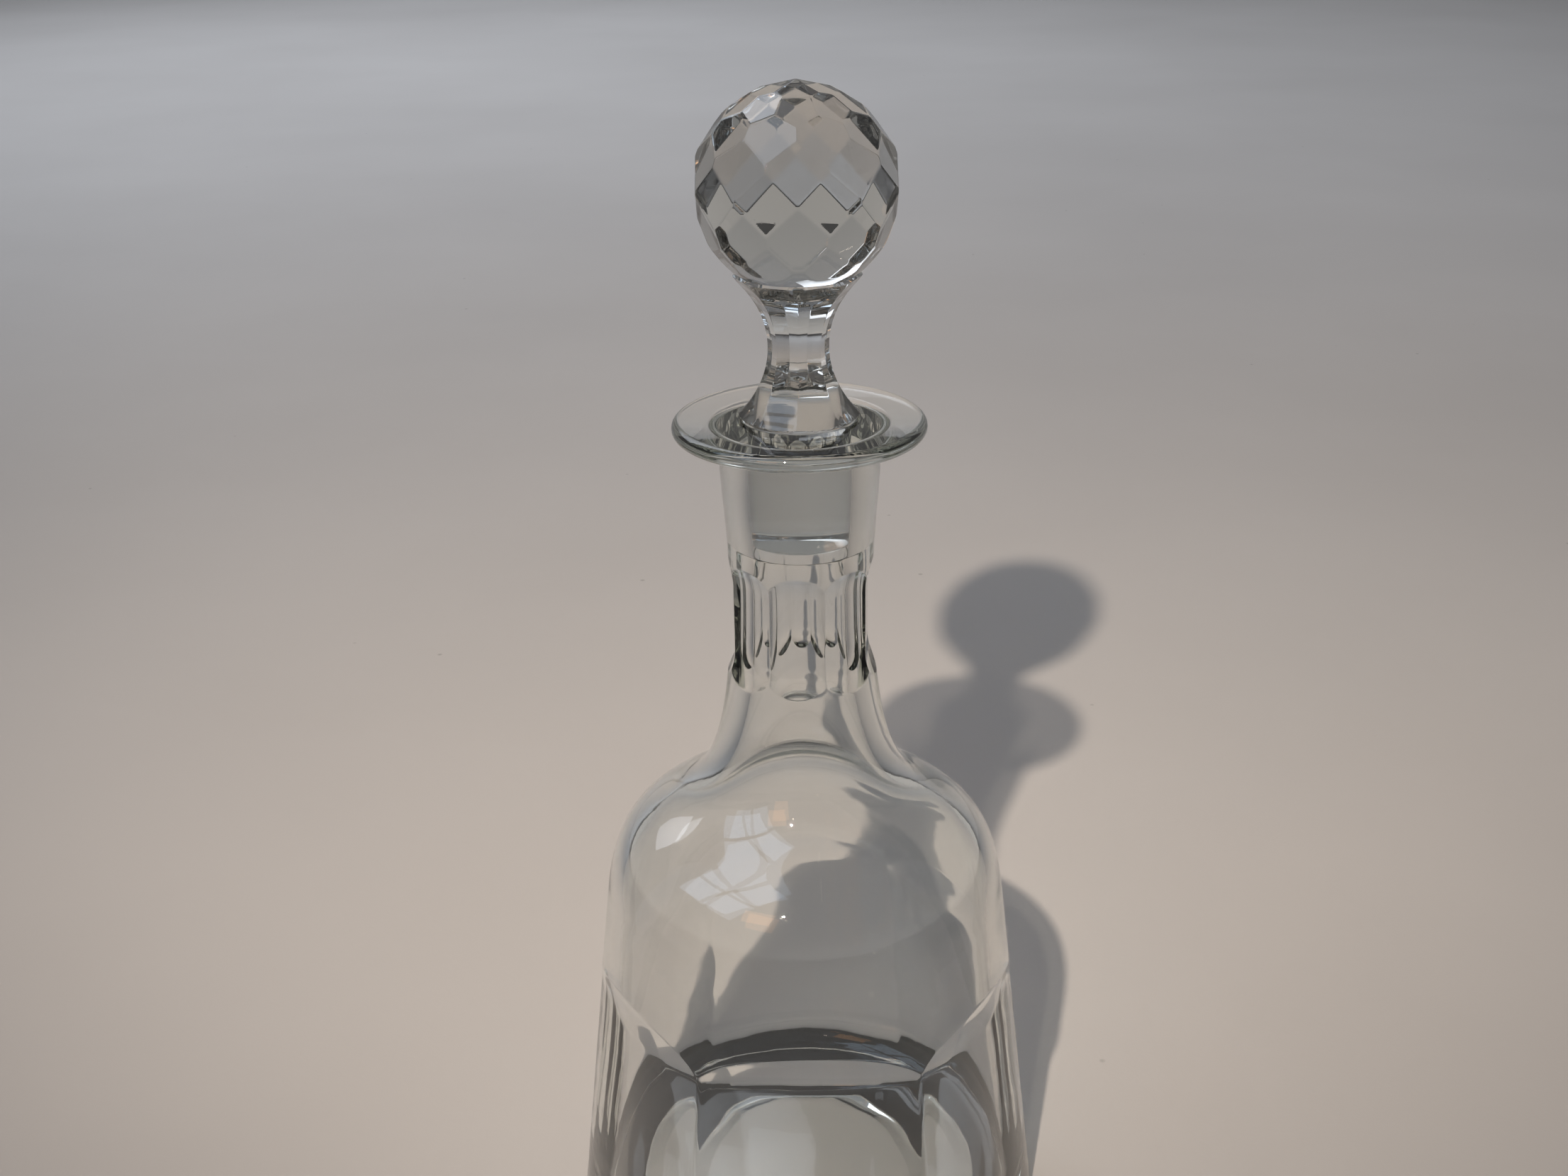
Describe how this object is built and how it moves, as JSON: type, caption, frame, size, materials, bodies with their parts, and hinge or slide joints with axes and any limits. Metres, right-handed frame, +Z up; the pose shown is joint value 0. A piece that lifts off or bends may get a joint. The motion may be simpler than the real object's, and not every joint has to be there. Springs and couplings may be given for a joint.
{
  "type": "cut crystal decanter",
  "caption": "Clear cut crystal decanter with a flared body, arch-topped side panels, a fluted neck, a wide flat lip and a faceted ball stopper that lifts out.",
  "frame": {"origin": "centre of the base, on the surface that the decanter stands on", "axes": "+Z up along the axis of the decanter and its stopper; -Y faces the viewer, through the middle of one side panel"},
  "size_m": [0.1194, 0.1148, 0.29],
  "materials": {
    "body_glass": "polished clear lead crystal, cut panels and flutes",
    "stopper_glass": "polished clear lead crystal, cut facets, ground plug"
  },
  "bodies": {
    "body": {"decanter_body": "body_glass"},
    "stopper": {"stopper": "stopper_glass"}
  },
  "joints": [
    {"name": "stopper_lift", "type": "slide", "parent": "body", "child": "stopper", "axis": [0, 0, 1], "range_m": [0, 0.04]}
  ]
}
